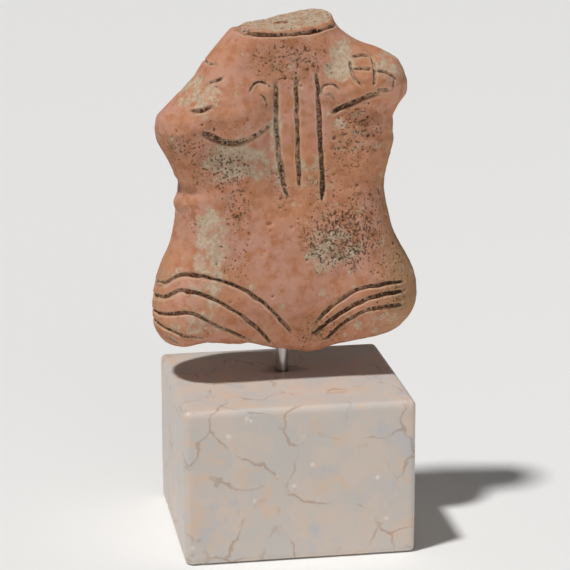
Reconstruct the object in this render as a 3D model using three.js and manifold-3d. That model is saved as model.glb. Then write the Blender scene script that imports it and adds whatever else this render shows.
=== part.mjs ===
// A fired-clay female torso, worn and broken at the neck, arms and legs, held by a steel
// rod over a block of marble. Lengths are in millimetres, +Z is up and -Y is the front.
// The origin is the middle of the block's underside.
import * as THREE from 'three';
import { RoundedBoxGeometry } from 'three/addons/geometries/RoundedBoxGeometry.js';
import { mergeVertices } from 'three/addons/utils/BufferGeometryUtils.js';
import Module from 'manifold-3d';

const wasm = await Module();
wasm.setup();

// Block and rod
const BLOCK_WIDTH = 72.5;
const BLOCK_DEPTH = 64.5;
const BLOCK_HEIGHT = 50;
const BLOCK_EDGE_RADIUS = 1.4;
const BLOCK_EDGE_STEPS = 2;
const ROD_DIAMETER = 4;
const ROD_SIDES = 24;
const ROD_X = 0.4;
const ROD_Y = 7.1;
const ROD_FOOT_Z = 26;
const ROD_TIP_Z = 86;
const SOCKET_GAP = 0.3;

// Torso: the outline seen from the front, as (x, z). Right and left are the figure's own,
// so its right side is at -X.
const RIGHT_SIDE = [
  [-13.0, 178], [-14.6, 166], [-15.2, 161.6], [-18.6, 157.4], [-23.6, 151.4], [-27.4, 146.4],
  [-31.6, 141.6], [-35.0, 138.2], [-38.6, 135.2], [-39.6, 132.4], [-39.2, 127],
  [-36.9, 122.6], [-34.6, 117.8], [-33.2, 113], [-33.6, 108.4], [-33.5, 102.6],
  [-35.0, 94.6], [-38.2, 88], [-40.3, 81.4], [-41.2, 73.6], [-40.6, 66.4], [-37.4, 61.6],
];
const UNDERSIDE = [
  [-31.6, 59.5], [-25.0, 61], [-16.0, 60], [-10.6, 60], [-4.2, 58.2], [1.0, 57.8],
  [7.0, 56.2], [11.0, 56.6], [17.0, 58.4], [24.0, 59.6], [31.0, 60.6],
];
const LEFT_SIDE = [
  [36.6, 62.6], [40.8, 66.2], [43.6, 70.4], [44.5, 75.4], [43.6, 81.6], [40.4, 88.2],
  [36.9, 94.4], [34.6, 102.4], [33.4, 110], [34.8, 118], [36.4, 124.6], [35.6, 131.6],
  [37.6, 136], [41.0, 141], [39.6, 145.6], [38.2, 149.6], [32.0, 153.5], [24.4, 156.7],
  [18.2, 161.2], [16.2, 165], [14.0, 178],
];
const OUTLINE_CHECK_STEPS = 384;

// Half thicknesses in front of and behind the middle plane, and the radius with which the
// skin turns round the outline, each from z = 50 upwards in steps of 10.
const MIDDLE_Y = 7;
const PROFILE_Z0 = 50;
const PROFILE_STEP = 10;
const FRONT_DEPTH = [8, 11.6, 13.6, 13.4, 12.4, 11.6, 11, 10.8, 10.6, 10.2, 9.8, 9.4, 9.2, 9];
const BACK_DEPTH = [9, 12.4, 14.4, 13.8, 12.2, 10.8, 10, 9.8, 9.8, 9.4, 9, 8.8, 8.8, 8.8];
const EDGE_TURN = [5, 6.5, 12, 14, 14, 13, 12, 10.5, 9.5, 9, 8.5, 9.5, 11, 11];

// The grid of the skin: rows up and columns across, closer together towards the outline.
const ROW_COUNT = 40;
const COLUMN_COUNT = 28;
const ROW_CROWDING = 0.35;
const COLUMN_CROWDING = 0.6;

const FRONT = -1;
const BACK = 1;

// Soft forms that stand out of the skin: centre (x, z), reach to -X, to +X, up and down,
// and height.
const FRONT_FORMS = {
  breastUnderArm: { at: [-15.5, 136.5], reach: [17, 12.5, 16, 10.5], height: 4 },
  rightArmStub: { at: [-31, 132.5], reach: [14, 14, 8, 9], height: 2.2 },
  leftBreast: { at: [22.5, 144], reach: [10.5, 13, 14, 8.5], height: 3.2 },
  leftArmStub: { at: [33, 147], reach: [11, 10, 9, 9], height: 1.8 },
  belly: { at: [1, 88], reach: [32, 32, 30, 24], height: 1.6 },
  rightHip: { at: [-26, 74], reach: [20, 22, 16, 14], height: 1.4 },
  leftHip: { at: [29, 75], reach: [22, 20, 16, 14], height: 1.4 },
};
const BACK_FORMS = {
  rightButtock: { at: [-18, 74], reach: [20, 19, 20, 15], height: 3.4 },
  leftButtock: { at: [20, 74], reach: [19, 20, 20, 15], height: 3.4 },
  shoulderBlades: { at: [1, 142], reach: [32, 32, 16, 22], height: 1.2 },
};

// Small round lumps pressed on to the chest: centre (x, z), radius and height.
const NUBS = [
  { at: [-6.9, 142.2], radius: 3.7, height: 1.0 },
  { at: [13.6, 141.2], radius: 3.1, height: 0.9 },
];
const NUB_SIDES = 14;
const NUB_ROWS = 8;

// Furrows drawn in the wet clay on the front: width, depth and the points (x, z) they pass.
const CHEST_FURROWS = [
  { width: 1.9, depth: 0.9, path: [[-2.8, 145], [-2.8, 134], [-2.3, 125], [-0.8, 115.5], [0.2, 110.8]] },
  { width: 1.4, depth: 1.1, path: [[3.6, 146.4], [3.7, 134], [4, 122], [4.5, 112.6]] },
  { width: 1.5, depth: 1.3, path: [[10, 148], [10.5, 138], [11, 126], [11.6, 116], [11.6, 108.4]] },
];
const BREAST_FURROWS = [
  { width: 2.2, depth: 1.0, path: [[-26.5, 131.6], [-20.6, 128], [-14.4, 127.6], [-9.6, 130]] },
  { width: 2.0, depth: 1.2, path: [[15, 136], [20, 138], [25, 140.6], [29, 141.6]] },
  { width: 1.0, depth: 0.8, path: [[-11.4, 143], [-9.8, 145.6], [-7, 146.2], [-3.9, 144.6]] },
  { width: 1.0, depth: 0.8, path: [[10.6, 141.6], [12.2, 144.4], [15, 144.8], [17, 142.6]] },
];
const SHOULDER_FURROWS = [
  { width: 1.4, depth: 0.9, path: [[-24, 145.4], [-21.6, 146.4], [-18.8, 147.6]] },
  { width: 1.5, depth: 0.9, path: [[-29.2, 137.6], [-26.1, 138], [-23, 139]] },
  { width: 1.2, depth: 0.8, path: [[20.2, 152.2], [20.3, 149.4], [21.2, 146.6], [23.6, 144.7]] },
  { width: 1.1, depth: 0.8, path: [[20.8, 152.4], [23.8, 153], [27.6, 152.8]] },
  { width: 1.1, depth: 0.8, path: [[20.6, 149.4], [24, 149.6], [27.6, 149.4]] },
  { width: 1.2, depth: 0.8, path: [[27.5, 153], [27.7, 149], [27.2, 144]] },
  { width: 1.1, depth: 0.8, path: [[27.6, 148.8], [31.6, 147.8], [35, 145.6]] },
  { width: 1.1, depth: 0.8, path: [[34.2, 146.4], [33.7, 142.4]] },
  { width: 1.4, depth: 0.9, path: [[28.2, 142.7], [33.2, 142.5]] },
];
const NECK_FURROW = { width: 1.5, depth: 1.2, path: [[-13.4, 160.6], [-5, 160.1], [6, 160.4], [16.6, 162]] };
// On the hips each set runs down to the groin, and starts at the flank or short of it.
const HIP_FURROWS = [
  { width: 1.5, depth: 1.3, flank: 80.4, path: [[-32, 86], [-23, 84.8], [-13.6, 81], [-5, 74], [1.2, 66.6]] },
  { width: 1.5, depth: 1.3, flank: 76.6, path: [[-32, 81.2], [-21.6, 77.6], [-11.6, 70.2], [-4, 61.4]] },
  { width: 1.3, depth: 1.1, flank: 72, path: [[-31, 74.4], [-24.4, 71], [-17, 67], [-11.4, 62.8]] },
  { width: 1.1, depth: 0.9, flank: 69.4, path: [[-35, 67.6], [-31, 66.2], [-26, 65.2]] },
  { width: 1.4, depth: 1.2, path: [[9, 69.4], [14.8, 75], [22, 79.4], [30, 80.7], [37.6, 81]] },
  { width: 1.4, depth: 1.3, path: [[8.2, 65.2], [15.4, 71], [23, 75.4], [30, 77.6], [37.2, 78]] },
  { width: 1.3, depth: 1.1, path: [[12.6, 63.2], [18.2, 68.8], [26, 72.8], [37.4, 73.8]] },
];
const FURROW_STEP = 3.2;
const FURROW_END_WIDTH = 0.35;
const FURROW_END_LENGTH = 3;
const FURROW_FLOOR = 0.16;
const FURROW_LIP = 0.8;
// How far in from the outline, in x, a furrow's points lie as it turns round the flank.
const FLANK_INSETS = [1.2, 3.4];
const FLANK_BACK_INSET = 0.8;

// The break at the neck, as a height over (x, y) that is highest behind the +X side.
const BREAK_FRONT_Z = 161.9;
const BREAK_SLOPE_X = 0.06;
const BREAK_SLOPE_Y = 0.1;
const BREAK_TWIST = 0.009;
const BREAK_FRONT_Y = -2;
const BREAK_BUMP = 0.35;
const BREAK_BUMP_LENGTH = 9;
const BREAK_STEPS = 8;
const CUT_HALF_SIZE = 30;
const CUT_TOP_Z = 190;

const clamp = THREE.MathUtils.clamp;
const OUTLINE = [...RIGHT_SIDE, ...UNDERSIDE, ...LEFT_SIDE];
const LOWER_RIGHT_CORNER = RIGHT_SIDE.length - 1;
const LOWER_LEFT_CORNER = RIGHT_SIDE.length + UNDERSIDE.length;
const UPPER_LEFT_CORNER = OUTLINE.length - 1;
const UPPER_RIGHT_CORNER = OUTLINE.length;

const outlineCurve = new THREE.CatmullRomCurve3(
  OUTLINE.map(([x, z]) => new THREE.Vector3(x, 0, z)), true, 'centripetal',
);
const outlinePoints = outlineCurve.getSpacedPoints(OUTLINE_CHECK_STEPS);

// Points of the outline from one of its corners to another, at fractions of the length.
function outlinePart(from, to, fractions) {
  const fine = 200;
  const points = Array.from({ length: fine + 1 }, (_, i) => (
    outlineCurve.getPoint(THREE.MathUtils.lerp(from, to, i / fine) / OUTLINE.length)
  ));
  const lengths = [0];
  for (let i = 1; i <= fine; i++) lengths.push(lengths[i - 1] + points[i].distanceTo(points[i - 1]));
  return fractions.map((fraction) => {
    const wanted = fraction * lengths[fine];
    const next = Math.max(1, lengths.findIndex((length) => length >= wanted - 1e-9));
    const t = (wanted - lengths[next - 1]) / (lengths[next] - lengths[next - 1]);
    return points[next - 1].clone().lerp(points[next], clamp(t, 0, 1));
  });
}

function edgeDistance(x, z) {
  let best = Infinity;
  for (let i = 0; i < OUTLINE_CHECK_STEPS; i++) {
    const a = outlinePoints[i];
    const b = outlinePoints[i + 1];
    const dx = b.x - a.x;
    const dz = b.z - a.z;
    const t = clamp(((x - a.x) * dx + (z - a.z) * dz) / (dx * dx + dz * dz), 0, 1);
    best = Math.min(best, Math.hypot(x - a.x - t * dx, z - a.z - t * dz));
  }
  return best;
}

function rightEdgeX(z) {
  let x = 0;
  for (let i = 0; i < OUTLINE_CHECK_STEPS; i++) {
    const a = outlinePoints[i];
    const b = outlinePoints[i + 1];
    const crosses = (a.z - z) * (b.z - z) <= 0 && a.z !== b.z;
    if (crosses) x = Math.min(x, a.x + ((b.x - a.x) * (z - a.z)) / (b.z - a.z));
  }
  return x;
}

// A value from a list of heights 10 mm apart, on a smooth curve through them.
function profileAt(values, z) {
  const place = clamp((z - PROFILE_Z0) / PROFILE_STEP, 0, values.length - 1.001);
  const i = Math.floor(place);
  const at = (k) => values[clamp(k, 0, values.length - 1)];
  const t = place - i;
  const slopeIn = (at(i + 1) - at(i - 1)) / 2;
  const slopeOut = (at(i + 2) - at(i)) / 2;
  const rise = at(i + 1) - at(i);
  return at(i) + t * slopeIn + t * t * (3 * rise - 2 * slopeIn - slopeOut)
    + t * t * t * (slopeIn + slopeOut - 2 * rise);
}

function formHeight(form, x, z) {
  const dx = x - form.at[0];
  const dz = z - form.at[1];
  const [left, right, up, down] = form.reach;
  const r = Math.hypot(dx / (dx < 0 ? left : right), dz / (dz < 0 ? down : up));
  return r < 1 ? form.height * (1 - r * r) * (1 - r * r) : 0;
}

// How far the skin lies from the middle plane, over a point of the outline's inside.
function skinDepth(x, z, side) {
  const inward = clamp(edgeDistance(x, z) / profileAt(EDGE_TURN, z), 0, 1);
  const turn = Math.sqrt(1 - (1 - inward) * (1 - inward));
  const forms = Object.values(side === FRONT ? FRONT_FORMS : BACK_FORMS);
  const raised = forms.reduce((sum, form) => sum + formHeight(form, x, z), 0);
  return turn * (profileAt(side === FRONT ? FRONT_DEPTH : BACK_DEPTH, z) + raised);
}

function skinPoint(x, z, side) {
  return new THREE.Vector3(x, MIDDLE_Y + side * skinDepth(x, z, side), z);
}

function skinNormal(x, z, side) {
  const step = 0.15;
  const dx = (skinDepth(x + step, z, side) - skinDepth(x - step, z, side)) / (2 * step);
  const dz = (skinDepth(x, z + step, side) - skinDepth(x, z - step, side)) / (2 * step);
  return new THREE.Vector3(-dx, side, -dz).normalize();
}

function closedGeometry(positions, indices) {
  const geometry = new THREE.BufferGeometry();
  geometry.setAttribute('position', new THREE.Float32BufferAttribute(positions, 3));
  geometry.setIndex(indices);
  return geometry;
}

function toSolid(geometry) {
  geometry.deleteAttribute('normal');
  geometry.deleteAttribute('uv');
  const merged = mergeVertices(geometry, 1e-4);
  return new wasm.Manifold(new wasm.Mesh({
    numProp: 3,
    vertProperties: new Float32Array(merged.attributes.position.array),
    triVerts: new Uint32Array(merged.index.array),
  }));
}

function toGeometry(solid) {
  const mesh = solid.getMesh();
  return closedGeometry(Array.from(mesh.vertProperties), Array.from(mesh.triVerts));
}

// A closed solid through rings of equal count, each ring in order round the solid, with
// the ends filled by fans.
function ringSolid(rings) {
  const count = rings[0].length;
  const positions = rings.flat().flatMap((p) => [p.x, p.y, p.z]);
  const indices = [];
  for (let r = 0; r + 1 < rings.length; r++) {
    for (let i = 0; i < count; i++) {
      const a = r * count + i;
      const b = r * count + ((i + 1) % count);
      indices.push(a, b, a + count, b, b + count, a + count);
    }
  }
  const last = (rings.length - 1) * count;
  for (let i = 1; i + 1 < count; i++) {
    indices.push(0, i + 1, i, last, last + i, last + i + 1);
  }
  return toSolid(closedGeometry(positions, indices));
}

function crowdedFractions(count, crowding) {
  return Array.from({ length: count + 1 }, (_, i) => {
    const even = i / count;
    return THREE.MathUtils.lerp(even, (1 - Math.cos(Math.PI * even)) / 2, crowding);
  });
}

// A grid of (x, z) points that fills the outline, blended from its four sides.
function outlineGrid() {
  const across = crowdedFractions(COLUMN_COUNT, COLUMN_CROWDING);
  const up = crowdedFractions(ROW_COUNT, ROW_CROWDING);
  const low = outlinePart(LOWER_RIGHT_CORNER, LOWER_LEFT_CORNER, across);
  const high = outlinePart(UPPER_RIGHT_CORNER, UPPER_LEFT_CORNER, across);
  const right = outlinePart(LOWER_RIGHT_CORNER, 0, up);
  const left = outlinePart(LOWER_LEFT_CORNER, UPPER_LEFT_CORNER, up);
  return up.map((t, row) => across.map((s, column) => {
    const upright = low[column].clone().lerp(high[column], t);
    const level = right[row].clone().lerp(left[row], s);
    const corners = low[0].clone().lerp(low[COLUMN_COUNT], s)
      .lerp(high[0].clone().lerp(high[COLUMN_COUNT], s), t);
    return upright.add(level).sub(corners);
  }));
}

function torsoBlank() {
  const positions = [];
  const indices = [];
  const grid = outlineGrid();
  const width = COLUMN_COUNT + 1;
  for (const side of [FRONT, BACK]) {
    const start = positions.length / 3;
    grid.forEach((points, row) => points.forEach((p, column) => {
      const onOutline = row % ROW_COUNT === 0 || column % COLUMN_COUNT === 0;
      positions.push(p.x, onOutline ? MIDDLE_Y : skinPoint(p.x, p.z, side).y, p.z);
    }));
    for (let row = 0; row < ROW_COUNT; row++) {
      for (let column = 0; column < COLUMN_COUNT; column++) {
        const a = start + row * width + column;
        const quad = [a, a + 1, a + 1 + width, a + width];
        if (side === BACK) quad.reverse();
        indices.push(quad[0], quad[1], quad[2], quad[0], quad[2], quad[3]);
      }
    }
  }
  return toSolid(closedGeometry(positions, indices));
}

function nub({ at: [x, z], radius, height }) {
  const geometry = new THREE.SphereGeometry(1, NUB_SIDES, NUB_ROWS);
  const centre = skinPoint(x, z, FRONT);
  geometry.rotateX(Math.PI / 2);
  geometry.scale(radius, height * 2, radius);
  geometry.translate(centre.x, centre.y + height, centre.z);
  return toSolid(geometry);
}

// The start of a furrow on the right flank: from just behind the outline, round it at
// height z, and on towards the furrow's first point on the front.
function flankPoints(z, [firstX, firstZ]) {
  const edge = rightEdgeX(z);
  const onFront = FLANK_INSETS.map((inset) => (
    skinPoint(edge + inset, THREE.MathUtils.lerp(z, firstZ, inset / (firstX - edge)), FRONT)
  ));
  return [skinPoint(edge + FLANK_BACK_INSET, z, BACK), new THREE.Vector3(edge, MIDDLE_Y, z), ...onFront];
}

// A bar with a blunt V section that follows the skin, thin at its ends.
function furrowCutter({ width, depth, path, flank }) {
  const onFront = path.map(([x, z]) => skinPoint(x, z, FRONT));
  const route = flank ? [...flankPoints(flank, path[0]), ...onFront] : onFront;
  const curve = new THREE.CatmullRomCurve3(route, false, 'centripetal');
  const length = curve.getLength();
  const steps = Math.max(3, Math.round(length / FURROW_STEP));
  const rings = [];
  for (let i = 0; i <= steps; i++) {
    const t = i / steps;
    const point = curve.getPointAt(t);
    const side = point.y > MIDDLE_Y ? BACK : FRONT;
    const normal = skinNormal(point.x, point.z, side);
    const along = curve.getTangentAt(t);
    const across = new THREE.Vector3().crossVectors(along, normal).normalize();
    const out = new THREE.Vector3().crossVectors(across, along).normalize();
    const fromEnd = Math.min(t, 1 - t) * length;
    const size = THREE.MathUtils.lerp(FURROW_END_WIDTH, 1, clamp(fromEnd / FURROW_END_LENGTH, 0, 1));
    const corner = (a, n) => point.clone().addScaledVector(across, a * width * size)
      .addScaledVector(out, n * depth * size);
    rings.push([
      corner(FURROW_LIP, 1), corner(FURROW_FLOOR, -1), corner(-FURROW_FLOOR, -1), corner(-FURROW_LIP, 1),
    ]);
  }
  return ringSolid(rings);
}

function breakHeight(x, y) {
  const back = y - BREAK_FRONT_Y;
  const bump = Math.sin(x / BREAK_BUMP_LENGTH * 2 + y / 4) * Math.cos(y / BREAK_BUMP_LENGTH * 3);
  return BREAK_FRONT_Z + BREAK_SLOPE_X * x + back * (BREAK_SLOPE_Y + BREAK_TWIST * x) + BREAK_BUMP * bump;
}

// Everything over the break at the neck.
function neckBreakCutter() {
  const size = 2 * CUT_HALF_SIZE;
  const geometry = new THREE.BoxGeometry(size, size, 1, BREAK_STEPS, BREAK_STEPS, 1);
  const position = geometry.attributes.position;
  for (let i = 0; i < position.count; i++) {
    const x = position.getX(i);
    const y = position.getY(i) + MIDDLE_Y;
    position.setY(i, y);
    position.setZ(i, position.getZ(i) < 0 ? breakHeight(x, y) : CUT_TOP_Z);
  }
  return toSolid(geometry);
}

function uprightCylinder(radius, low, high) {
  const geometry = new THREE.CylinderGeometry(radius, radius, high - low, ROD_SIDES);
  geometry.rotateX(Math.PI / 2);
  geometry.translate(ROD_X, ROD_Y, (low + high) / 2);
  return geometry;
}

function socket(low, high) {
  return toSolid(uprightCylinder(ROD_DIAMETER / 2 + SOCKET_GAP, low, high));
}

function torsoGeometry() {
  let solid = torsoBlank();
  for (const lump of NUBS) solid = solid.add(nub(lump));
  const furrows = [
    ...CHEST_FURROWS, ...BREAST_FURROWS, ...SHOULDER_FURROWS, NECK_FURROW, ...HIP_FURROWS,
  ];
  for (const furrow of furrows) solid = solid.subtract(furrowCutter(furrow));
  solid = solid.subtract(neckBreakCutter());
  solid = solid.subtract(socket(BLOCK_HEIGHT, ROD_TIP_Z + SOCKET_GAP));
  return toGeometry(solid);
}

function blockGeometry() {
  const geometry = new RoundedBoxGeometry(
    BLOCK_WIDTH, BLOCK_DEPTH, BLOCK_HEIGHT, BLOCK_EDGE_STEPS, BLOCK_EDGE_RADIUS,
  );
  geometry.translate(0, 0, BLOCK_HEIGHT / 2);
  const socketTop = BLOCK_HEIGHT + ROD_DIAMETER;
  return toGeometry(toSolid(geometry).subtract(socket(ROD_FOOT_Z - SOCKET_GAP, socketTop)));
}

function piece(name, geometry, colour, roughness, metalness) {
  const material = new THREE.MeshStandardMaterial({ color: colour, roughness, metalness });
  const mesh = new THREE.Mesh(geometry, material);
  mesh.name = name;
  return mesh;
}

const figurine = new THREE.Group();
figurine.add(piece('torso', torsoGeometry(), 0xc29273, 0.9, 0));
figurine.add(piece('rod', uprightCylinder(ROD_DIAMETER / 2, ROD_FOOT_Z, ROD_TIP_Z), 0xb9bbbd, 0.3, 1));
figurine.add(piece('base_block', blockGeometry(), 0xd8ccc0, 0.5, 0));

export default figurine;
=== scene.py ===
# %% [markdown]
# A fired-clay torso, broken and worn, stands on a steel rod over a block of marble. The
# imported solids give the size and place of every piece. Here each piece gets its fine
# surface and its finish. Lengths that are easier to read in millimetres are written so.

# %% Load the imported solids
import math

import bpy
import numpy as np
from mathutils import Euler, Matrix, Vector


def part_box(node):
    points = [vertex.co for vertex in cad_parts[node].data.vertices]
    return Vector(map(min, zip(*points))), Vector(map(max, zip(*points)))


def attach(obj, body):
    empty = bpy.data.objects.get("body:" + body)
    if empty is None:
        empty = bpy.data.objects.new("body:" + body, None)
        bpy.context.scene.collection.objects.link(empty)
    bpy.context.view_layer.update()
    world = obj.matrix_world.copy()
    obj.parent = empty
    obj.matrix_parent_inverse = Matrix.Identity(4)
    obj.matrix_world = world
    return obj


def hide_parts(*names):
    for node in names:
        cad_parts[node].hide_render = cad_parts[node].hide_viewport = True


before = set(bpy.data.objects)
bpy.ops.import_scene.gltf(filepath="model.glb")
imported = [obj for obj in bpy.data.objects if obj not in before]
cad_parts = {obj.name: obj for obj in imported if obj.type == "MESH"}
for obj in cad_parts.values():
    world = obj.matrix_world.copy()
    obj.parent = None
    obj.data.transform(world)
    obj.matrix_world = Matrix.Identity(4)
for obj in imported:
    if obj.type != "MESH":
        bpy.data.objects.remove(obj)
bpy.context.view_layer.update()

MM = 0.001

# %% [markdown]
# The camera stands where the photographer stood: a little to the figure's right and
# above, far off with a long lens, so that the block's edges hardly run together.
# The numbers come from the block's seven visible corners.

# %% Camera
CAMERA_AZIMUTH = math.radians(-9.29)
CAMERA_ELEVATION = math.radians(15.2)
CAMERA_ROLL = math.radians(-0.16)
CAMERA_DISTANCE = 739.06 * MM
CAMERA_TARGET = Vector((0.324, 0, 80.13)) * MM
PHOTO_PIXELS = 570
FOCAL_PIXELS = 2337.3

bpy.ops.object.camera_add()
camera = bpy.context.object
camera.name = "camera"
aim = Euler((math.pi / 2 - CAMERA_ELEVATION, 0, CAMERA_AZIMUTH)).to_matrix()
turn = aim @ Matrix.Rotation(CAMERA_ROLL, 3, "Z")
camera.rotation_euler = turn.to_euler()
camera.location = CAMERA_TARGET + CAMERA_DISTANCE * (turn @ Vector((0, 0, 1)))
camera.data.lens = FOCAL_PIXELS / PHOTO_PIXELS * camera.data.sensor_width
bpy.context.scene.camera = camera
print("camera at", tuple(round(v, 3) for v in camera.location), "lens", round(camera.data.lens, 1))

# %% [markdown]
# One small source high on the left makes the crisp shadow under the torso. A broad, weak
# source in front lifts the faces that look at the camera, and the pale floor, which
# throws light back, and the world fill the rest.

# %% Lights, floor and world
KEY_DIRECTION = Vector((-0.364, -0.176, 1))
KEY_ANGLE = math.radians(5.5)
KEY_STRENGTH = 2.6
FRONT_PLACE = Vector((0.35, -1.5, 0.42))
FRONT_SIZE = 0.9
FRONT_POWER = 4
WORLD_STRENGTH = 0.1

bpy.ops.object.light_add(type="SUN")
key = bpy.context.object
key.name = "key_light"
key.rotation_euler = KEY_DIRECTION.to_track_quat("Z", "Y").to_euler()
key.data.angle = KEY_ANGLE
key.data.energy = KEY_STRENGTH

bpy.ops.object.light_add(type="AREA", location=FRONT_PLACE)
front = bpy.context.object
front.name = "front_light"
front.rotation_euler = (FRONT_PLACE - CAMERA_TARGET).to_track_quat("Z", "Y").to_euler()
front.data.size = FRONT_SIZE
front.data.energy = FRONT_POWER

bpy.ops.mesh.primitive_plane_add(size=8)
floor = bpy.context.object
floor.name = "floor"

world = bpy.context.scene.world or bpy.data.worlds.new("world")
bpy.context.scene.world = world
world.use_nodes = True
world.node_tree.nodes["Background"].inputs["Color"].default_value = (1, 1, 1, 1)
world.node_tree.nodes["Background"].inputs["Strength"].default_value = WORLD_STRENGTH
bpy.context.scene.view_settings.view_transform = "Standard"

# %% [markdown]
# Materials are built from nodes. One function turns the hex colours, as a paint chart
# gives them, to the linear values that the shader needs, and one adds a node with its
# settings and links.


# %% Helpers for materials
def linear(hex_colour):
    channels = [int(hex_colour[i:i + 2], 16) / 255 for i in (1, 3, 5)]
    return tuple(c / 12.92 if c <= 0.04045 else ((c + 0.055) / 1.055) ** 2.4 for c in channels) + (1,)


def add_node(tree, kind, inputs={}, **settings):
    """Adds a node. An input is given a value, or another node's output socket."""
    node = tree.nodes.new("ShaderNode" + kind)
    for name, value in settings.items():
        setattr(node, name, value)
    for name, value in inputs.items():
        if isinstance(value, bpy.types.NodeSocket):
            tree.links.new(value, node.inputs[name])
        elif isinstance(value, str):
            node.inputs[name].default_value = linear(value)
        else:
            node.inputs[name].default_value = value
    return node


def new_material(name):
    material = bpy.data.materials.new(name)
    material.use_nodes = True
    tree = material.node_tree
    return material, tree, tree.nodes["Principled BSDF"]


def per_metre(size_mm):
    return 1 / (size_mm * MM)


def noise_of(tree, size_mm, detail=3, roughness=0.55, distortion=0.0, vector=None):
    place = vector or add_node(tree, "TexCoord").outputs["Object"]
    settings = {"Vector": place, "Scale": per_metre(size_mm), "Detail": detail,
                "Roughness": roughness, "Distortion": distortion}
    return add_node(tree, "TexNoise", settings).outputs["Fac"]


def between(tree, value, low, high):
    """0 where value is under low, 1 over high, and a soft step between."""
    inputs = {"Value": value, "From Min": low, "From Max": high}
    return add_node(tree, "MapRange", inputs, interpolation_type="SMOOTHSTEP").outputs["Result"]


def combine(tree, operation, a, b):
    return add_node(tree, "Math", {0: a, 1: b}, operation=operation, use_clamp=True).outputs[0]


def blend(tree, factor, under, over):
    mix = add_node(tree, "MixRGB", {"Fac": factor, "Color1": under, "Color2": over})
    return mix.outputs["Color"]


def attribute(tree, name):
    return add_node(tree, "Attribute", attribute_name=name).outputs["Fac"]


floor_material, tree, shader = new_material("painted_white_board")
shader.inputs["Base Color"].default_value = linear("#f4f3f1")
shader.inputs["Roughness"].default_value = 0.8
floor.data.materials.append(floor_material)
print("floor", floor_material.name)

# %% [markdown]
# Operators act on all that is selected, and the loaded solids are selected, so each step
# starts from one chosen object alone.


# %% Helpers for modelling
def choose(piece):
    bpy.ops.object.select_all(action="DESELECT")
    piece.select_set(True)
    bpy.context.view_layer.objects.active = piece


def apply_modifier(piece, kind, **settings):
    choose(piece)
    modifier = piece.modifiers.new(kind.lower(), kind)
    for name, value in settings.items():
        setattr(modifier, name, value)
    bpy.ops.object.modifier_apply(modifier=modifier.name)


def merged_copy(node, name):
    """A copy of a solid with its loose triangles joined, as a piece of its own."""
    piece = bpy.data.objects.new(name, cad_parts[node].data.copy())
    piece.data.name = name
    piece.data.materials.clear()
    bpy.context.scene.collection.objects.link(piece)
    choose(piece)
    bpy.ops.object.mode_set(mode="EDIT")
    bpy.ops.mesh.select_all(action="SELECT")
    bpy.ops.mesh.remove_doubles(threshold=0.001 * MM)
    bpy.ops.object.mode_set(mode="OBJECT")
    return piece


def points_of(mesh):
    values = np.empty(len(mesh.vertices) * 3, np.float32)
    mesh.vertices.foreach_get("co", values)
    return values.reshape(-1, 3).astype(float) / MM


def normals_of(mesh):
    values = np.empty(len(mesh.vertices) * 3, np.float32)
    mesh.vertex_normals.foreach_get("vector", values)
    return values.reshape(-1, 3).astype(float)


def move_points(mesh, points):
    mesh.vertices.foreach_set("co", (points * MM).astype(np.float32).ravel())
    mesh.update()


def triangles(piece):
    return sum(len(p.vertices) - 2 for p in piece.data.polygons)


# %% [markdown]
# The torso is fired clay: formed flat by hand, drawn on with a stick while wet, fired,
# buried and worn. Its form is the solid's. The copy is remeshed to points a third of a
# millimetre apart, as a sculptor would start, and smoothed until the solid's flat facets
# are gone. That softens the furrows too, so they are drawn again next.

# %% Torso: an even, smooth skin
SKIN_STEP = 0.38 * MM
SMOOTH_ROUNDS = 22

torso = merged_copy("torso", "clay_torso")
apply_modifier(torso, "REMESH", mode="VOXEL", voxel_size=SKIN_STEP)
apply_modifier(torso, "SMOOTH", factor=0.5, iterations=SMOOTH_ROUNDS)
print("torso skin", len(torso.data.vertices), "points")

# %% [markdown]
# Clay has no pattern that repeats, so all its roughness comes from noise: random values
# on a lattice, blended smoothly between its points. Cells round random points make pits.


# %% Noise for moving points
def lattice_value(cell, seed):
    i, j, k = (cell[:, axis].astype(np.int64) for axis in range(3))
    n = (i * 73856093) ^ (j * 19349663) ^ (k * 83492791) ^ (seed * 2654435761)
    n = ((n ^ (n >> 13)) * 1274126177) & 0xFFFFFFFF
    n = ((n ^ (n >> 16)) * 2246822519) & 0xFFFFFFFF
    return ((n ^ (n >> 15)) & 0xFFFF) / 65535


def clay_noise(points, size, seed):
    """Smooth noise from -1 to 1, with lumps of about the given size in millimetres."""
    place = points / size
    cell = np.floor(place)
    t = place - cell
    t = t * t * (3 - 2 * t)
    total = np.zeros(len(points))
    for corner in np.ndindex(2, 2, 2):
        share = np.prod([t[:, a] if corner[a] else 1 - t[:, a] for a in range(3)], axis=0)
        total += share * lattice_value(cell + corner, seed)
    return 2 * total - 1


def pit_noise(points, size, seed):
    """1 at random points about the given distance apart, falling to 0 half way between."""
    place = points / size
    cell = np.floor(place)
    nearest = np.full(len(points), 9.0)
    for corner in np.ndindex(3, 3, 3):
        near = cell + corner - 1
        spot = near + np.stack([lattice_value(near, seed + a) for a in range(3)], axis=1)
        nearest = np.minimum(nearest, np.linalg.norm(place - spot, axis=1))
    return np.clip(1 - 2 * nearest, 0, 1)


def soft_step(value, low, high):
    t = np.clip((value - low) / (high - low), 0, 1)
    return t * t * (3 - 2 * t)


def spot_mask(points, spots):
    """1 at the middle of soft oval spots on the front: x, z, reach in x, reach in z, strength."""
    mask = np.zeros(len(points))
    for x, z, reach_x, reach_z, strength in spots:
        r = np.hypot((points[:, 0] - x) / reach_x, (points[:, 2] - z) / reach_z)
        mask = np.maximum(mask, strength * (1 - soft_step(r, 0.35, 1)))
    return mask


# %% [markdown]
# The furrows were drawn with a blunt stick. Each follows a few points, wanders a little,
# varies in depth and pushes up a small lip on its lower side.

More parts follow.
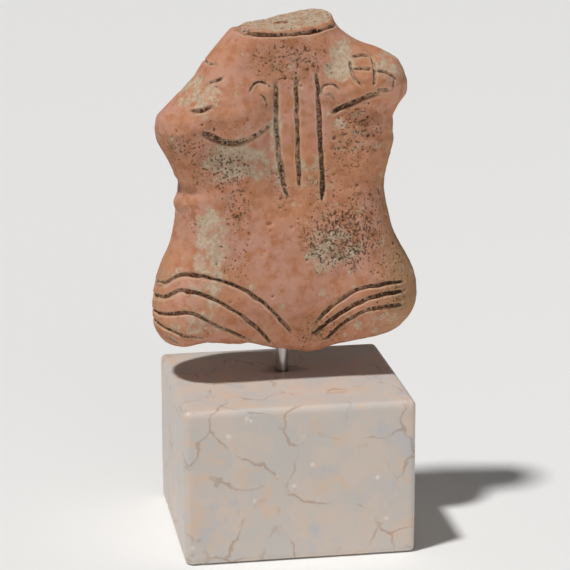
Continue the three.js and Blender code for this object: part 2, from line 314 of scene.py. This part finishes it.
# %% Torso: furrows
CHEST = [
    (1.5, 0.55, [(-2.8, 145.5), (-2.8, 134), (-2.3, 125), (-0.8, 115.5), (0.4, 109.6)]),
    (1.25, 0.95, [(3.6, 146.6), (3.7, 134), (4, 122), (4.5, 112.4)]),
    (1.35, 1.05, [(10, 148), (10.5, 138), (11, 126), (11.6, 116), (11.7, 107.8)]),
]
BREASTS = [
    (1.7, 0.7, [(-26.5, 131.4), (-20.6, 128), (-14.4, 127.4), (-9.6, 129.4), (-4.6, 132.6)]),
    (1.6, 1.0, [(14.6, 135.8), (20, 138), (25, 140.4), (29.4, 141.6)]),
    (0.9, 0.6, [(-11.4, 143), (-9.8, 145.4), (-7, 145.8), (-3.8, 144.2)]),
    (0.8, 0.5, [(-8.6, 142.6), (-6.8, 141.6), (-5.8, 139), (-6.4, 137.6)]),
    (0.9, 0.6, [(10.8, 141), (12, 144), (15, 144.6), (16.8, 142.4)]),
    (0.9, 0.6, [(12.4, 141.2), (14, 141.6), (15, 139.6)]),
]
SHOULDERS = [
    (1.1, 0.8, [(-24.2, 145.2), (-21.6, 146.3), (-18.7, 147.8)]),
    (1.3, 0.9, [(-29.4, 137.4), (-26.1, 137.8), (-23, 139)]),
    (0.9, 0.5, [(-24.4, 151.4), (-20.6, 151)]),
    (1.0, 0.7, [(20.2, 152.2), (20.3, 149.2), (21.2, 146.4), (23.7, 144.5)]),
    (0.9, 0.6, [(20.8, 152.4), (23.8, 153), (27.6, 152.6)]),
    (0.9, 0.7, [(20.6, 149.2), (24, 149.4), (27.6, 149)]),
    (1.0, 0.7, [(27.5, 153), (27.8, 149), (27.2, 144)]),
    (0.9, 0.7, [(27.6, 148.6), (31.6, 147.6), (35.2, 145.2)]),
    (0.9, 0.6, [(34.2, 146.2), (33.7, 142.2)]),
    (1.3, 0.8, [(28, 142.6), (33.4, 142.4)]),
]
NECK = [(1.1, 0.8, [(-13.2, 160.7), (-5, 160.1), (6, 160.4), (16.8, 162)])]
HIPS = [
    (1.25, 1.0, [(-42, 80.2), (-37.6, 82.8), (-32, 86), (-23, 84.8), (-13.6, 81), (-5, 74), (1.4, 66.4)]),
    (1.25, 1.0, [(-42, 76.4), (-37.8, 78.4), (-32, 81.2), (-21.6, 77.6), (-11.6, 70.2), (-3.6, 61)]),
    (1.1, 0.8, [(-42, 71.8), (-37.6, 73), (-31, 74.4), (-24.4, 71), (-17, 67), (-11, 62.6)]),
    (1.0, 0.75, [(-41.6, 69.4), (-37.8, 68.2), (-33, 66.6), (-26, 65.2)]),
    (0.9, 0.5, [(-38, 65.4), (-33.6, 63.2)]),
    (1.15, 0.8, [(8.8, 69), (14.8, 75), (22, 79.4), (30, 80.7), (38, 80.8)]),
    (1.2, 0.95, [(8, 64.8), (15.4, 71), (23, 75.4), (30, 77.6), (37.6, 77.8)]),
    (1.1, 0.8, [(12.4, 62.8), (18.2, 68.8), (26, 72.8), (38, 73.8)]),
]
FURROWS = CHEST + BREASTS + SHOULDERS + NECK + HIPS
WANDER = 0.28
LIP_HEIGHT = 0.16


def smooth_line(path, step=0.6):
    """Points about step apart on a smooth curve through the path's points."""
    points = np.array([path[0]] + list(path) + [path[-1]], float)
    line = [points[1]]
    for i in range(1, len(points) - 2):
        before, start, end, after = points[i - 1:i + 3]
        count = max(2, int(np.hypot(*(end - start)) / step))
        for t in np.arange(1, count + 1) / count:
            a = 2 * start + (end - before) * t
            b = (2 * before - 5 * start + 4 * end - after) * t ** 2
            c = (3 * start - before - 3 * end + after) * t ** 3
            line.append((a + b + c) / 2)
    return np.array(line)


def line_distance(places, line):
    """Distance to the line, length along it from the nearer end, and -1 below, 1 above."""
    best = np.full(len(places), 1e9)
    along = np.zeros(len(places))
    side = np.zeros(len(places))
    run = 0
    total = np.linalg.norm(np.diff(line, axis=0), axis=1).sum()
    for a, b in zip(line[:-1], line[1:]):
        step = b - a
        length = np.hypot(*step)
        t = np.clip((places - a) @ step / length ** 2, 0, 1)
        off = places - a - t[:, None] * step
        distance = np.hypot(off[:, 0], off[:, 1])
        closer = distance < best
        best = np.where(closer, distance, best)
        along = np.where(closer, run + t * length, along)
        side = np.where(closer, np.sign(off[:, 1]), side)
        run += length
    return best, np.minimum(along, total - along), side


def furrow_relief(points, facing_front):
    """How deep the furrows cut, how high their lips stand, and how far in a furrow a point is."""
    cut = np.zeros(len(points))
    lip = np.zeros(len(points))
    inside = np.zeros(len(points))
    wander = np.stack([clay_noise(points, 2.6, 11), clay_noise(points, 2.6, 12)], axis=1) * WANDER
    places = points[:, [0, 2]] + wander
    vary = 1 + 0.35 * clay_noise(points, 3.2, 13)
    for width, depth, path in FURROWS:
        line = smooth_line(path)
        reach = 2 * width
        near = np.all((places > line.min(0) - reach) & (places < line.max(0) + reach), axis=1)
        near &= facing_front > 0
        distance, from_end, side = line_distance(places[near], line)
        fade = facing_front[near] * soft_step(from_end + width * 0.6, 0, 2.2)
        half = distance / (width / 2)
        cut[near] = np.maximum(cut[near], depth * vary[near] * fade * (1 - soft_step(half, 0.1, 1.15)))
        ridge = np.exp(-((half - 1.55) / 0.4) ** 2) * np.where(side < 0, 1, 0.35)
        lip[near] = np.maximum(lip[near], LIP_HEIGHT * fade * ridge)
        inside[near] = np.maximum(inside[near], fade * (1 - soft_step(half, 0.3, 1.3)))
    return cut, lip, inside


# %% [markdown]
# Wear and burial left the rest: scars, flaked places, pits, and on the breaks a coarse
# grain. Each place is a soft oval given by its middle and reach.

# %% Torso: wear and grain
# x, z, reach in x, reach in z, and depth in millimetres (or strength from 0 to 1)
DENTS = [
    (-33, 111.5, 8, 4.5, 1.0), (-27, 112.5, 6, 3.5, 0.4), (-29, 140.6, 3.2, 3, 0.5), (-26, 146, 3, 2, 0.35),
    (-22.6, 143.6, 4.5, 2.4, 0.45), (-24, 128, 5, 4, 0.5), (24.5, 134, 8, 4.2, 0.7), (31, 136.6, 5, 3.4, 0.5),
    (17.2, 149.6, 5, 5, 0.35), (31, 123, 5, 6, 0.35), (-11, 148.5, 5, 3, 0.3), (-5.4, 101.6, 1.3, 1, 0.5),
    (3.6, 146.2, 1.8, 1.6, 0.5), (-9, 154.4, 1.6, 2.6, 0.25), (26, 128.6, 3.4, 2.6, 0.4),
]
BUMPS = [
    (-13.6, 134.6, 8.5, 7, 0.9), (-33.6, 107.6, 4.5, 3.4, 0.6), (-17.6, 140.8, 4, 2.2, 0.4),
    (-6.8, 142, 3.2, 3, 0.35), (13.8, 142.4, 2.6, 2.2, 0.3), (21.6, 142.4, 5, 3.4, 0.6),
    (24, 147, 2.8, 2, 0.35), (30.6, 145.2, 2.8, 2, 0.3), (28.6, 132.4, 3.4, 2.6, 0.45),
    (34, 130, 3, 3.4, 0.4),
]
ROUGH_PLACES = [
    (-32, 112, 9, 6, 1), (26, 133.6, 11, 7, 0.9), (17, 150, 6, 7, 0.7), (-27, 141, 8, 7, 0.6),
    (33, 124, 6, 12, 0.6), (14, 97, 16, 14, 0.35), (-20, 118, 12, 10, 0.4), (-24, 66, 12, 6, 0.4),
    (0, 60, 30, 3, 0.6), (-3, 128, 3, 18, 0.6),
]
BREAK_FLOOR_Z = 160.8


def torso_relief(points, normals):
    facing_front = 1 - soft_step(normals[:, 1], 0.05, 0.5)
    on_break = soft_step(normals[:, 2], 0.75, 0.93) * soft_step(points[:, 2], BREAK_FLOOR_Z, BREAK_FLOOR_Z + 0.8)
    cut, lip, _ = furrow_relief(points, facing_front)
    rough = np.maximum(spot_mask(points, ROUGH_PLACES) * facing_front, on_break)
    relief = lip - cut
    relief += facing_front * sum(spot_mask(points, [bump]) for bump in BUMPS)
    relief -= facing_front * sum(spot_mask(points, [dent]) for dent in DENTS)
    relief += 0.30 * clay_noise(points, 11, 1) + 0.13 * clay_noise(points, 5, 2)
    relief += (0.05 + 0.22 * rough) * clay_noise(points, 2.3, 3)
    relief += (0.035 + 0.12 * rough) * clay_noise(points, 1.1, 4)
    pitted = soft_step(clay_noise(points, 9, 5) + 0.5 * rough, 0.0, 0.5)
    relief -= (0.05 + 0.22 * pitted) * soft_step(pit_noise(points, 1.9, 6), 0.35, 0.9)
    relief -= 0.35 * soft_step(pit_noise(points, 5.2, 7), 0.6, 0.95)
    return relief


points = points_of(torso.data)
relief = torso_relief(points, normals_of(torso.data))
moved = points + relief[:, None] * normals_of(torso.data)
print("torso relief from", round(relief.min(), 2), "to", round(relief.max(), 2), "mm")

# %% [markdown]
# The rod's socket is hidden, so it stays round and plain, and clear of the rod.

# %% Torso: keep the socket true, and thin the mesh
ROD_X, ROD_Y = (c / MM for c in (sum(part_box("rod"), Vector()) / 2)[:2])
ROD_RADIUS = (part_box("rod")[1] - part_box("rod")[0])[0] / 2 / MM
SOCKET_RADIUS = ROD_RADIUS + 0.3
TORSO_TRIANGLES = 190000

from_rod = moved[:, :2] - (ROD_X, ROD_Y)
radius = np.linalg.norm(from_rod, axis=1)
in_socket = radius < SOCKET_RADIUS
moved[in_socket, :2] += from_rod[in_socket] * (SOCKET_RADIUS / radius[in_socket, None] - 1)
move_points(torso.data, moved)
apply_modifier(torso, "DECIMATE", ratio=min(1, TORSO_TRIANGLES / triangles(torso)))
bpy.ops.object.shade_smooth()
print("torso", triangles(torso), "triangles")

# %% [markdown]
# The clay's colour follows what happened to each place: dirt in hollows and furrows,
# with painted shade added there, pale lime crust beside them, partly a painted highlight
# on the lower lips, an olive patina on the flanks, on the right one also painted shade, and
# bare salmon clay on worn high places. These shares are kept on the points, as attributes
# that the material reads.

# %% Torso: where the crust, dirt, bare clay and painted shade lie
CRUST_PLACES = [
    (-17, 122, 12, 10, 0.9), (-24, 92, 8, 24, 0.75), (-26, 142, 10, 8, 0.6), (17, 151, 7, 9, 0.9),
    (-2.6, 128, 3, 20, 1), (14, 92, 12, 10, 0.75), (33, 149, 8, 8, 0.6), (27, 68, 14, 6, 0.45),
    (-28, 71, 10, 8, 0.6), (20, 128, 10, 10, 0.4), (7.6, 118, 5, 14, 0.4), (-9, 119, 7, 9, 0.7),
]
SPECKLE_PLACES = [
    (2, 152, 18, 9, 0.8), (-32, 126, 10, 12, 0.75), (-20, 119, 14, 10, 0.8), (-14, 106, 9, 12, 0.75),
    (22, 126, 14, 16, 0.7), (18, 96, 20, 16, 1), (27, 108, 12, 14, 0.7), (-19, 133, 14, 6, 0.5),
    (10, 66, 14, 10, 0.7), (-16, 90, 8, 14, 0.4), (-31, 104, 7, 10, 0.5), (34, 84, 12, 16, 0.65),
    (-2, 112, 6, 12, 0.7), (11, 112, 8, 12, 0.5),
]
BARE_PLACES = [
    (-7, 101, 8, 16, 1), (-2, 88, 10, 10, 0.8), (-22, 154, 9, 9, 0.9), (0.5, 128, 2.6, 18, 0.8),
    (7.2, 132, 2.6, 16, 0.9), (22, 144, 6, 5, 0.6), (-14, 72, 10, 6, 0.6), (-33, 133, 7, 5, 0.5),
    (2, 71, 6, 8, 0.7), (26, 116, 6, 9, 0.5), (-33, 104, 4, 8, 0.6),
]
# Olive patina on the flanks; on the right flank it is also painted shade, darker because the light comes from the
# left.
OLIVE_AND_SHADE_PLACES = [(42, 84, 16, 34, 1), (38, 112, 10, 26, 0.7), (-42, 92, 8, 22, 0.6), (36, 64, 16, 8, 0.5)]


def hollows(piece, points, normals):
    """How far each point lies below (or above) the mean of its neighbours, in millimetres."""
    edges = np.empty(len(piece.data.edges) * 2, np.int64)
    piece.data.edges.foreach_get("vertices", edges)
    a, b = edges.reshape(-1, 2).T
    below = np.zeros(len(points))
    for _ in range(2):
        total = np.zeros_like(points)
        count = np.zeros(len(points))
        for start, end in ((a, b), (b, a)):
            for axis in range(3):
                total[:, axis] += np.bincount(start, points[end, axis], len(points))
            count += np.bincount(start, minlength=len(points))
        mean = total / count[:, None]
        below += ((mean - points) * normals).sum(1)
        points = mean
    return below


def set_attribute(piece, name, values):
    layer = piece.data.attributes.new(name, "FLOAT", "POINT")
    layer.data.foreach_set("value", values.astype(np.float32))


points = points_of(torso.data)
normals = normals_of(torso.data)
facing_front = 1 - soft_step(normals[:, 1], 0.05, 0.6)
_, lip, inside = furrow_relief(points, facing_front)
on_break = soft_step(normals[:, 2], 0.7, 0.9) * soft_step(points[:, 2], BREAK_FLOOR_Z, BREAK_FLOOR_Z + 1)
patchy = 0.5 + 0.5 * clay_noise(points, 14, 21)
depth_below = hollows(torso, points, normals)


def over_all(spots, elsewhere):
    return facing_front * spot_mask(points, spots) + (1 - facing_front) * elsewhere * patchy


set_attribute(torso, "furrow", inside)
set_attribute(torso, "lip", lip / LIP_HEIGHT)
# Hollows get more dark specks: dirt, and painted shade in the recesses.
set_attribute(torso, "hollow_dirt_and_shade", np.clip(depth_below / 0.12, 0, 1))
set_attribute(torso, "worn", np.clip(-depth_below / 0.12, 0, 1))
set_attribute(torso, "crust", np.maximum(over_all(CRUST_PLACES, 0.7), 0.9 * on_break))
set_attribute(torso, "speckle", np.maximum(over_all(SPECKLE_PLACES, 0.8), 0.5 * on_break))
set_attribute(torso, "bare", over_all(BARE_PLACES, 0.3) * (1 - on_break))
# The olive share on the right flank is also painted shade.
set_attribute(torso, "olive_and_shade", over_all(OLIVE_AND_SHADE_PLACES, 0.5))
print("hollows up to", round(depth_below.max(), 2), "mm")

# %% [markdown]
# Low-fired clay is matt and open-grained, with a salmon to orange body. Lime from the
# soil left a grey-beige crust, and manganese left brown-black specks a few tenths of a
# millimetre wide. The grain is sharper than the mesh, so a fine bump carries it.


# %% Fired clay
def fired_clay():
    material, tree, shader = new_material("fired_clay_lime_crust")
    furrow = attribute(tree, "furrow")
    hollow_dirt_and_shade = attribute(tree, "hollow_dirt_and_shade")
    worn = attribute(tree, "worn")
    crust = attribute(tree, "crust")
    speckle = attribute(tree, "speckle")
    bare = attribute(tree, "bare")

    body = blend(tree, between(tree, noise_of(tree, 16), 0.35, 0.65), "#c58a68", "#c79480")
    body = blend(tree, between(tree, noise_of(tree, 3.5, 4), 0.42, 0.68), body, "#b77a58")
    # Olive patina, and on the right flank painted shade.
    body = blend(tree, combine(tree, "MULTIPLY", attribute(tree, "olive_and_shade"), 0.75), body, "#a5835c")
    body = blend(tree, combine(tree, "MULTIPLY", worn, 0.5), body, "#d9a683")

    patches = combine(tree, "ADD", noise_of(tree, 4.2, 5, 0.65), combine(tree, "MULTIPLY", crust, 0.26))
    patches = combine(tree, "SUBTRACT", patches, combine(tree, "MULTIPLY", bare, 0.22))
    crust_and_lit_lip = between(tree, patches, 0.56, 0.72)
    crust_and_lit_lip = combine(tree, "MAXIMUM", crust_and_lit_lip, combine(tree, "MULTIPLY", furrow, 0.8))
    # The lips, mostly below a furrow, turn pale: lime crust, and a painted highlight where the light from above
    # catches them.
    crust_and_lit_lip = combine(tree, "MAXIMUM", crust_and_lit_lip, combine(tree, "MULTIPLY", attribute(tree, "lip"), 0.55))
    lime = blend(tree, between(tree, noise_of(tree, 1.2, 4), 0.4, 0.6), "#b7a58b", "#cdbda4")
    colour = blend(tree, combine(tree, "MULTIPLY", crust_and_lit_lip, 0.8), body, lime)

    dirty = combine(tree, "MULTIPLY", between(tree, noise_of(tree, 2.4, 4), 0.45, 0.62), speckle)
    dirty = combine(tree, "MULTIPLY", dirty, 0.45)
    colour = blend(tree, dirty, colour, "#8a6a4c")

    specks = combine(tree, "ADD", noise_of(tree, 0.85, 3, 0.7), combine(tree, "MULTIPLY", speckle, 0.17))
    # Hollows gather more dark specks: dirt, and painted shade in the recesses.
    specks = combine(tree, "ADD", specks, combine(tree, "MULTIPLY", hollow_dirt_and_shade, 0.16))
    specks = combine(tree, "SUBTRACT", specks, combine(tree, "MULTIPLY", bare, 0.1))
    specks = between(tree, specks, 0.66, 0.74)
    colour = blend(tree, combine(tree, "MULTIPLY", specks, 0.85), colour, "#4c3a2b")

    # Dark furrow cores: dirt, and painted shade on the walls the light misses.
    furrow_dirt_and_shade = combine(tree, "MULTIPLY", furrow, between(tree, noise_of(tree, 1.4, 3), 0.42, 0.62))
    colour = blend(tree, combine(tree, "MULTIPLY", furrow_dirt_and_shade, 0.75), colour, "#3c2c20")
    shader.inputs["Roughness"].default_value = 0.92
    shader.inputs["Specular IOR Level"].default_value = 0.25
    tree.links.new(colour, shader.inputs["Base Color"])
    grain = add_node(tree, "Bump", {"Height": noise_of(tree, 0.6, 5, 0.7), "Distance": 0.25 * MM, "Strength": 0.6})
    tree.links.new(grain.outputs["Normal"], shader.inputs["Normal"])
    return material


torso.data.materials.append(fired_clay())
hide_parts("torso")
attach(torso, "root")
print("clay dressed")

# %% [markdown]
# The block is marble, sawn and honed, its edges rubbed round. It starts as a cube, is
# bevelled, drilled for the rod, and then remeshed fine so that chips and pits can be
# pressed into it where the photo shows them.

# %% Block: cube, bevel, hole
block_low, block_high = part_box("base_block")
BLOCK_EDGE = 1.7 * MM
BLOCK_STEP = 0.6 * MM
HOLE_DEPTH = block_high.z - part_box("rod")[0].z + 0.3 * MM

bpy.ops.object.select_all(action="DESELECT")
bpy.ops.mesh.primitive_cube_add(size=1, location=(block_low + block_high) / 2, scale=block_high - block_low)
block = bpy.context.object
block.name = block.data.name = "marble_block"
bpy.ops.object.transform_apply(location=True, rotation=True, scale=True)
apply_modifier(block, "BEVEL", width=BLOCK_EDGE, segments=5, limit_method="ANGLE")

bpy.ops.object.select_all(action="DESELECT")
bpy.ops.mesh.primitive_cylinder_add(
    vertices=48, radius=SOCKET_RADIUS * MM, depth=2 * HOLE_DEPTH,
    location=(ROD_X * MM, ROD_Y * MM, block_high.z))
drill = bpy.context.object
apply_modifier(block, "BOOLEAN", operation="DIFFERENCE", object=drill, solver="EXACT")
bpy.data.objects.remove(drill)
apply_modifier(block, "REMESH", mode="VOXEL", voxel_size=BLOCK_STEP)
apply_modifier(block, "SMOOTH", factor=0.5, iterations=3)
print("block", len(block.data.vertices), "points")

# %% Block: chips and pits
# Places in millimetres, with radius and depth
CHIPS = [
    (-35.8, -31.8, 1.2, 1.5, 0.8), (-34.0, -32.3, 3.4, 0.9, 0.5), (-32.0, -32.2, 1.0, 1.3, 0.5),
    (-29.4, -32.3, 1.4, 0.8, 0.4), (12.0, -32.3, 2.0, 1.6, 0.35), (34.6, -32.0, 2.0, 1.2, 0.5),
    (36.2, -6.0, 0.8, 1.6, 0.5), (-36.2, 12.0, 49.4, 1.3, 0.4), (30.0, 32.2, 0.8, 1.6, 0.6),
    (-36.0, 20.0, 1.0, 1.8, 0.6), (36.0, 18.0, 49.2, 1.1, 0.4), (-6.0, 32.2, 49.4, 1.3, 0.4),
]
PITS = [
    (-22.6, -32.25, 42.0, 0.8), (-17.0, -32.25, 47.2, 0.7), (-15.6, -32.25, 46.6, 0.5), (3.4, -32.25, 31.2, 0.7),
    (-2.2, -32.25, 24.6, 0.7), (-7.6, -32.25, 28.0, 0.5), (24.0, -32.25, 25.8, 0.8), (5.0, -32.25, 19.0, 0.5),
    (-34.0, -32.25, 6.2, 0.6), (-14.6, -32.25, 20.4, 0.5), (0.8, -32.25, 40.4, 0.45), (27.0, -32.25, 12.0, 0.5),
    (-36.25, -8.0, 30.0, 0.6), (-36.25, 10.0, 16.0, 0.5), (36.25, 4.0, 34.0, 0.6), (-10.0, 32.25, 30.0, 0.6),
]
BLOCK_TRIANGLES = 70000

points = points_of(block.data)
normals = normals_of(block.data)
pit_share = np.zeros(len(points))
sunk = 0.05 * clay_noise(points, 18, 31)
for x, y, z, reach, depth in CHIPS:
    distance = np.linalg.norm(points - (x, y, z), axis=1) * (1 + 0.35 * clay_noise(points, 1.2, 32))
    sunk -= depth * (1 - soft_step(distance / reach, 0.3, 1))
for x, y, z, reach in PITS:
    distance = np.linalg.norm(points - (x, y, z), axis=1)
    sunk -= 0.25 * (1 - soft_step(distance / reach, 0.2, 1))
low = np.array(block_low) / MM
high = np.array(block_high) / MM
moved = np.clip(points + sunk[:, None] * normals, low, high)
from_rod = moved[:, :2] - (ROD_X, ROD_Y)
radius = np.linalg.norm(from_rod, axis=1)
in_hole = (radius < SOCKET_RADIUS) & (points[:, 2] > 20)
moved[in_hole, :2] += from_rod[in_hole] * (SOCKET_RADIUS / radius[in_hole, None] - 1)
move_points(block.data, moved)
apply_modifier(block, "DECIMATE", ratio=min(1, BLOCK_TRIANGLES / triangles(block)))
bpy.ops.object.shade_smooth()
print("block", triangles(block), "triangles")

points = points_of(block.data)
pit_share = np.zeros(len(points))
for x, y, z, reach in PITS:
    distance = np.linalg.norm(points - (x, y, z), axis=1)
    pit_share = np.maximum(pit_share, 1 - soft_step(distance / reach, 0.5, 1.3))
# A brown ring at the rod's foot, stretched sideways: a stain, and the rod's painted shadow.
rod_stain_and_shadow = np.linalg.norm((points[:, :2] - (ROD_X, ROD_Y)) / (1.5, 1.0), axis=1) + 1.2 * clay_noise(points, 2, 33)
set_attribute(block, "pit", pit_share)
set_attribute(block, "rod_stain_and_shadow", (1 - soft_step(rod_stain_and_shadow, 2.4, 6)) * (points[:, 2] > high[2] - 1))


# %% [markdown]
# Honed marble is dense and slightly clear: light goes in a little, so its edges glow.
# This one is a pale breccia, grey-beige clouds parted by thin orange-brown veins.


# %% Honed marble
def honed_marble():
    material, tree, shader = new_material("honed_beige_marble")
    place = add_node(tree, "TexCoord").outputs["Object"]
    push = add_node(tree, "TexNoise", {"Vector": place, "Scale": per_metre(14), "Detail": 4}).outputs["Color"]
    shift = add_node(tree, "VectorMath", {0: push, 1: (0.5, 0.5, 0.5)}, operation="SUBTRACT").outputs[0]
    shift = add_node(tree, "VectorMath", {0: shift, "Scale": 16 * MM}, operation="SCALE").outputs[0]
    bent = add_node(tree, "VectorMath", {0: place, 1: shift}, operation="ADD").outputs[0]

    colour = blend(tree, between(tree, noise_of(tree, 15, 3, vector=bent), 0.38, 0.62), "#cdc6bf", "#d8c8bb")
    colour = blend(tree, between(tree, noise_of(tree, 7, 4, vector=bent), 0.52, 0.7), colour, "#dcc3ae")
    colour = blend(tree, between(tree, noise_of(tree, 9, 3), 0.55, 0.75), colour, "#c6c3c3")
    cells = {"Vector": bent, "Scale": per_metre(21), "Randomness": 1}
    edge = add_node(tree, "TexVoronoi", cells, feature="DISTANCE_TO_EDGE").outputs["Distance"]
    vein = combine(tree, "SUBTRACT", 1.0, between(tree, edge, 0.004, 0.03))
    vein = combine(tree, "MULTIPLY", vein, between(tree, noise_of(tree, 10, 2), 0.42, 0.6))
    colour = blend(tree, combine(tree, "MULTIPLY", vein, 0.6), colour, "#b08d73")
    colour = blend(tree, combine(tree, "MULTIPLY", attribute(tree, "pit"), 0.85), colour, "#f1ece4")
    # The ring at the rod's foot: a stain, and the rod's painted shadow.
    colour = blend(tree, combine(tree, "MULTIPLY", attribute(tree, "rod_stain_and_shadow"), 0.6), colour, "#7a5a3c")
    tree.links.new(colour, shader.inputs["Base Color"])
    shader.inputs["Roughness"].default_value = 0.42
    shader.inputs["Subsurface Weight"].default_value = 0.12
    shader.inputs["Subsurface Radius"].default_value = (1, 0.8, 0.6)
    shader.inputs["Subsurface Scale"].default_value = 2 * MM
    fine = add_node(tree, "Bump", {"Height": noise_of(tree, 0.5, 3), "Distance": 0.05 * MM, "Strength": 0.3})
    tree.links.new(fine.outputs["Normal"], shader.inputs["Normal"])
    return material


block.data.materials.append(honed_marble())
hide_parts("base_block")
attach(block, "root")
print("marble dressed")

# %% [markdown]
# The rod is drawn steel. Drawing leaves faint lines along it, so it is bright with
# streaks, and its cut ends are slightly rounded.

# %% Rod
rod_low, rod_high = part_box("rod")
bpy.ops.object.select_all(action="DESELECT")
bpy.ops.mesh.primitive_cylinder_add(
    vertices=64, radius=ROD_RADIUS * MM, depth=rod_high.z - rod_low.z,
    location=(rod_low + rod_high) / 2)
rod = bpy.context.object
rod.name = rod.data.name = "steel_rod"
bpy.ops.object.transform_apply(location=True, rotation=True, scale=True)
apply_modifier(rod, "BEVEL", width=0.3 * MM, segments=3, limit_method="ANGLE")
bpy.ops.object.shade_smooth_by_angle(angle=math.radians(35))


def drawn_steel():
    material, tree, shader = new_material("drawn_steel")
    place = add_node(tree, "TexCoord").outputs["Object"]
    lines = add_node(tree, "Mapping", {"Vector": place, "Scale": (1, 1, 0.02)}).outputs["Vector"]
    streak = noise_of(tree, 0.35, 3, vector=lines)
    shader.inputs["Metallic"].default_value = 1
    tree.links.new(blend(tree, streak, "#b9bbbd", "#d6d7d8"), shader.inputs["Base Color"])
    tree.links.new(
        add_node(tree, "MapRange", {"Value": streak, "To Min": 0.16, "To Max": 0.3}).outputs["Result"],
        shader.inputs["Roughness"])
    return material


rod.data.materials.append(drawn_steel())
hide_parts("rod")
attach(rod, "root")
print("rod", triangles(rod), "triangles")
